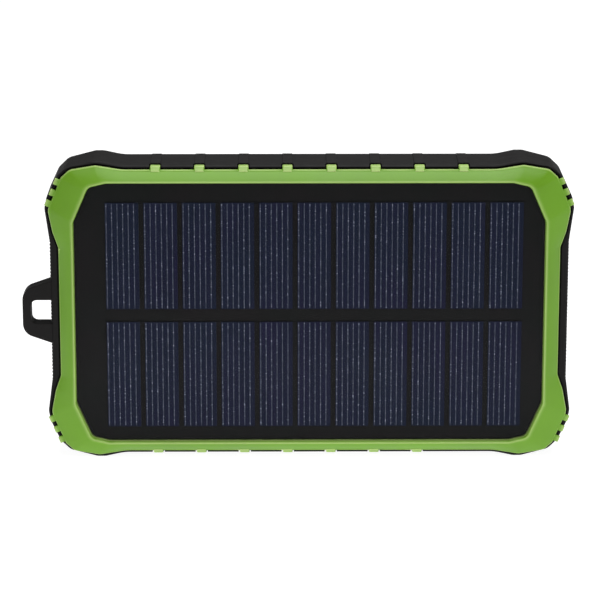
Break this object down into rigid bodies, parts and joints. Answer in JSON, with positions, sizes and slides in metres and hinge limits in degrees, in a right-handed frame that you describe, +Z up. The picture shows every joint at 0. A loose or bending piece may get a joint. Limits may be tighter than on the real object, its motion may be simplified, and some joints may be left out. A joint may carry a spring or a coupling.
{
  "type": "solar phone charger",
  "caption": "Rugged pocket battery bank with a solar panel face, green bezel, rubber shell with a lanyard loop, hinged port cover, power button and torch.",
  "frame": {"origin": "centre of the bounding box's bottom face, on the surface that the charger stands on", "axes": "+X along the long side from the lanyard loop to the port cover, +Y from the solar panel to the back, +Z up across the short side"},
  "size_m": [0.1471, 0.02, 0.0816],
  "materials": {
    "case_rubber": "matte black soft-touch rubber with fine grain",
    "green_plastic": "satin lime green moulded plastic",
    "black_plastic": "matte black moulded plastic",
    "seal_rubber": "matte seal rubber",
    "clear_film": "clear laminated film",
    "solder_mask_black": "black board under film",
    "solar_silicon": "dark blue silicon with pale fingers",
    "pouch_foil": "laminated foil pouch",
    "foam": "black foam",
    "pcb_green": "green solder mask",
    "tinned_steel": "tinned sheet steel",
    "white_plastic": "white moulded plastic",
    "led_resin": "clear LED resin",
    "clear_plastic": "clear moulded plastic",
    "reflector_chrome": "metallised bowl",
    "black_zinc_steel": "black zinc plated steel",
    "red_insulation": "red wire insulation",
    "black_insulation": "black wire insulation"
  },
  "bodies": {
    "case": {"rear_shell": "case_rubber", "front_bezel": "green_plastic", "front_frame": "black_plastic", "seal_gasket": "seal_rubber", "panel_cover_film": "clear_film", "solar_board": "solder_mask_black", "solar_cell_r1_c01": "solar_silicon", "solar_cell_r1_c02": "solar_silicon", "solar_cell_r1_c03": "solar_silicon", "solar_cell_r1_c04": "solar_silicon", "solar_cell_r1_c05": "solar_silicon", "solar_cell_r1_c06": "solar_silicon", "solar_cell_r1_c07": "solar_silicon", "solar_cell_r1_c08": "solar_silicon", "solar_cell_r1_c09": "solar_silicon", "solar_cell_r1_c10": "solar_silicon", "solar_cell_r1_c11": "solar_silicon", "solar_cell_r2_c01": "solar_silicon", "solar_cell_r2_c02": "solar_silicon", "solar_cell_r2_c03": "solar_silicon", "solar_cell_r2_c04": "solar_silicon", "solar_cell_r2_c05": "solar_silicon", "solar_cell_r2_c06": "solar_silicon", "solar_cell_r2_c07": "solar_silicon", "solar_cell_r2_c08": "solar_silicon", "solar_cell_r2_c09": "solar_silicon", "solar_cell_r2_c10": "solar_silicon", "solar_cell_r2_c11": "solar_silicon", "battery_cell_front": "pouch_foil", "battery_cell_rear": "pouch_foil", "battery_foam_pad": "foam", "battery_lead_red": "red_insulation", "battery_lead_black": "black_insulation", "main_pcb": "pcb_green", "power_inductor": "black_plastic", "controller_chip": "black_plastic", "filter_capacitor": "tinned_steel", "usb_a_shell_upper": "tinned_steel", "usb_a_shell_lower": "tinned_steel", "micro_usb_shell": "tinned_steel", "usb_a_tongue_upper": "white_plastic", "usb_a_tongue_lower": "white_plastic", "micro_usb_tongue": "black_plastic", "port_cover_anchor": "case_rubber", "tact_switch_body": "black_plastic", "led_light_guide": "clear_plastic", "charge_led_1": "led_resin", "charge_led_2": "led_resin", "charge_led_3": "led_resin", "charge_led_4": "led_resin", "torch_led": "led_resin", "torch_reflector": "reflector_chrome", "torch_lens": "clear_plastic", "case_screw_1": "black_zinc_steel", "case_screw_2": "black_zinc_steel", "case_screw_3": "black_zinc_steel", "case_screw_4": "black_zinc_steel"},
    "port_cover": {"port_cover": "case_rubber"},
    "power_button": {"power_button": "case_rubber", "switch_plunger": "white_plastic"}
  },
  "joints": [
    {"name": "port_cover_hinge", "type": "hinge", "parent": "case", "child": "port_cover", "pos_m": [0.07245, 0.0008, 0.06105], "axis": [0, -1, 0], "range_deg": [0, 110]},
    {"name": "power_button_press", "type": "slide", "parent": "case", "child": "power_button", "axis": [0, 0, 1], "range_m": [0, 0.0006], "stiffness_N_per_m": 1500}
  ]
}
